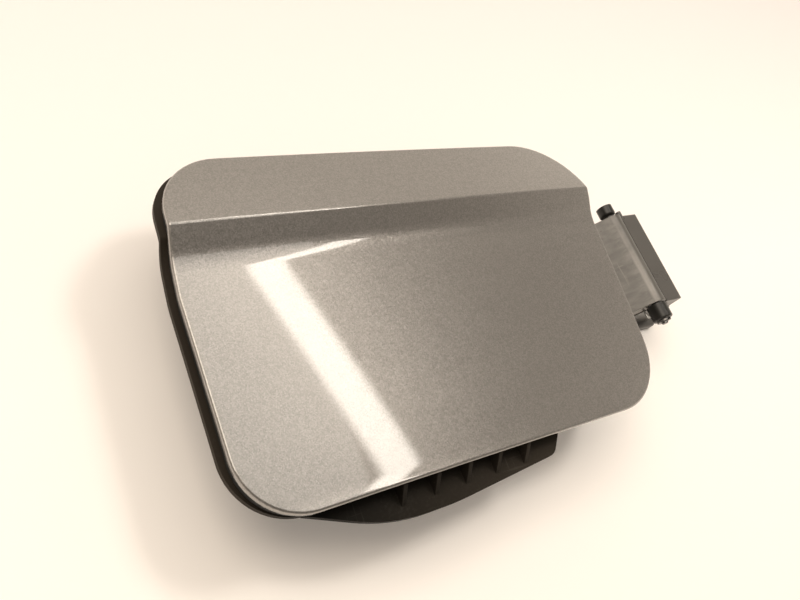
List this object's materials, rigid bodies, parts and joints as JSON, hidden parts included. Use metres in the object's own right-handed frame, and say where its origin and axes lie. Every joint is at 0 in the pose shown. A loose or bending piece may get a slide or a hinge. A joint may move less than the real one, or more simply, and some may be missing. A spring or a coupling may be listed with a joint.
{
  "type": "car fuel door",
  "caption": "Painted car fuel door with a creased skin on a black inner moulding, hung on a sprung gooseneck hinge arm with a base block, and a loop striker at its free edge.",
  "frame": {"origin": "midway between the two mounting holes of the hinge base, on its foot", "axes": "+X from the free edge towards the hinge, +Y along the hinge pin towards the top of the flap, +Z out of the car"},
  "size_m": [0.2443, 0.1376, 0.045],
  "materials": {
    "paint": "metallic paint under clear coat",
    "carrier_plastic": "fine-grained black moulding",
    "arm_plastic": "satin dark grey moulding",
    "striker_plastic": "satin black moulding",
    "bush_plastic": "natural bearing plastic",
    "rubber": "matt black",
    "zinc_steel": "zinc plated",
    "pin_steel": "ground",
    "spring_steel": "drawn wire",
    "brass": "turned"
  },
  "bodies": {
    "base": {"hinge_base": "arm_plastic", "base_inserts": "brass", "hinge_pin": "pin_steel", "thrust_washers": "bush_plastic", "pin_cap": "carrier_plastic", "torsion_spring": "spring_steel", "retaining_clip": "spring_steel"},
    "door": {"outer_panel": "paint", "inner_carrier": "carrier_plastic", "edge_seal": "rubber", "bump_stops": "rubber", "hinge_arm": "arm_plastic", "arm_screws": "zinc_steel", "boss_inserts": "brass", "pivot_bushes": "bush_plastic", "spring_spool": "carrier_plastic", "latch_striker": "striker_plastic", "striker_screws": "zinc_steel"}
  },
  "joints": [
    {"name": "door_hinge", "type": "hinge", "parent": "base", "child": "door", "pos_m": [-0.01, 0, 0.0248], "axis": [0, 1, 0], "range_deg": [0, 100], "deforming": ["torsion_spring"]}
  ]
}
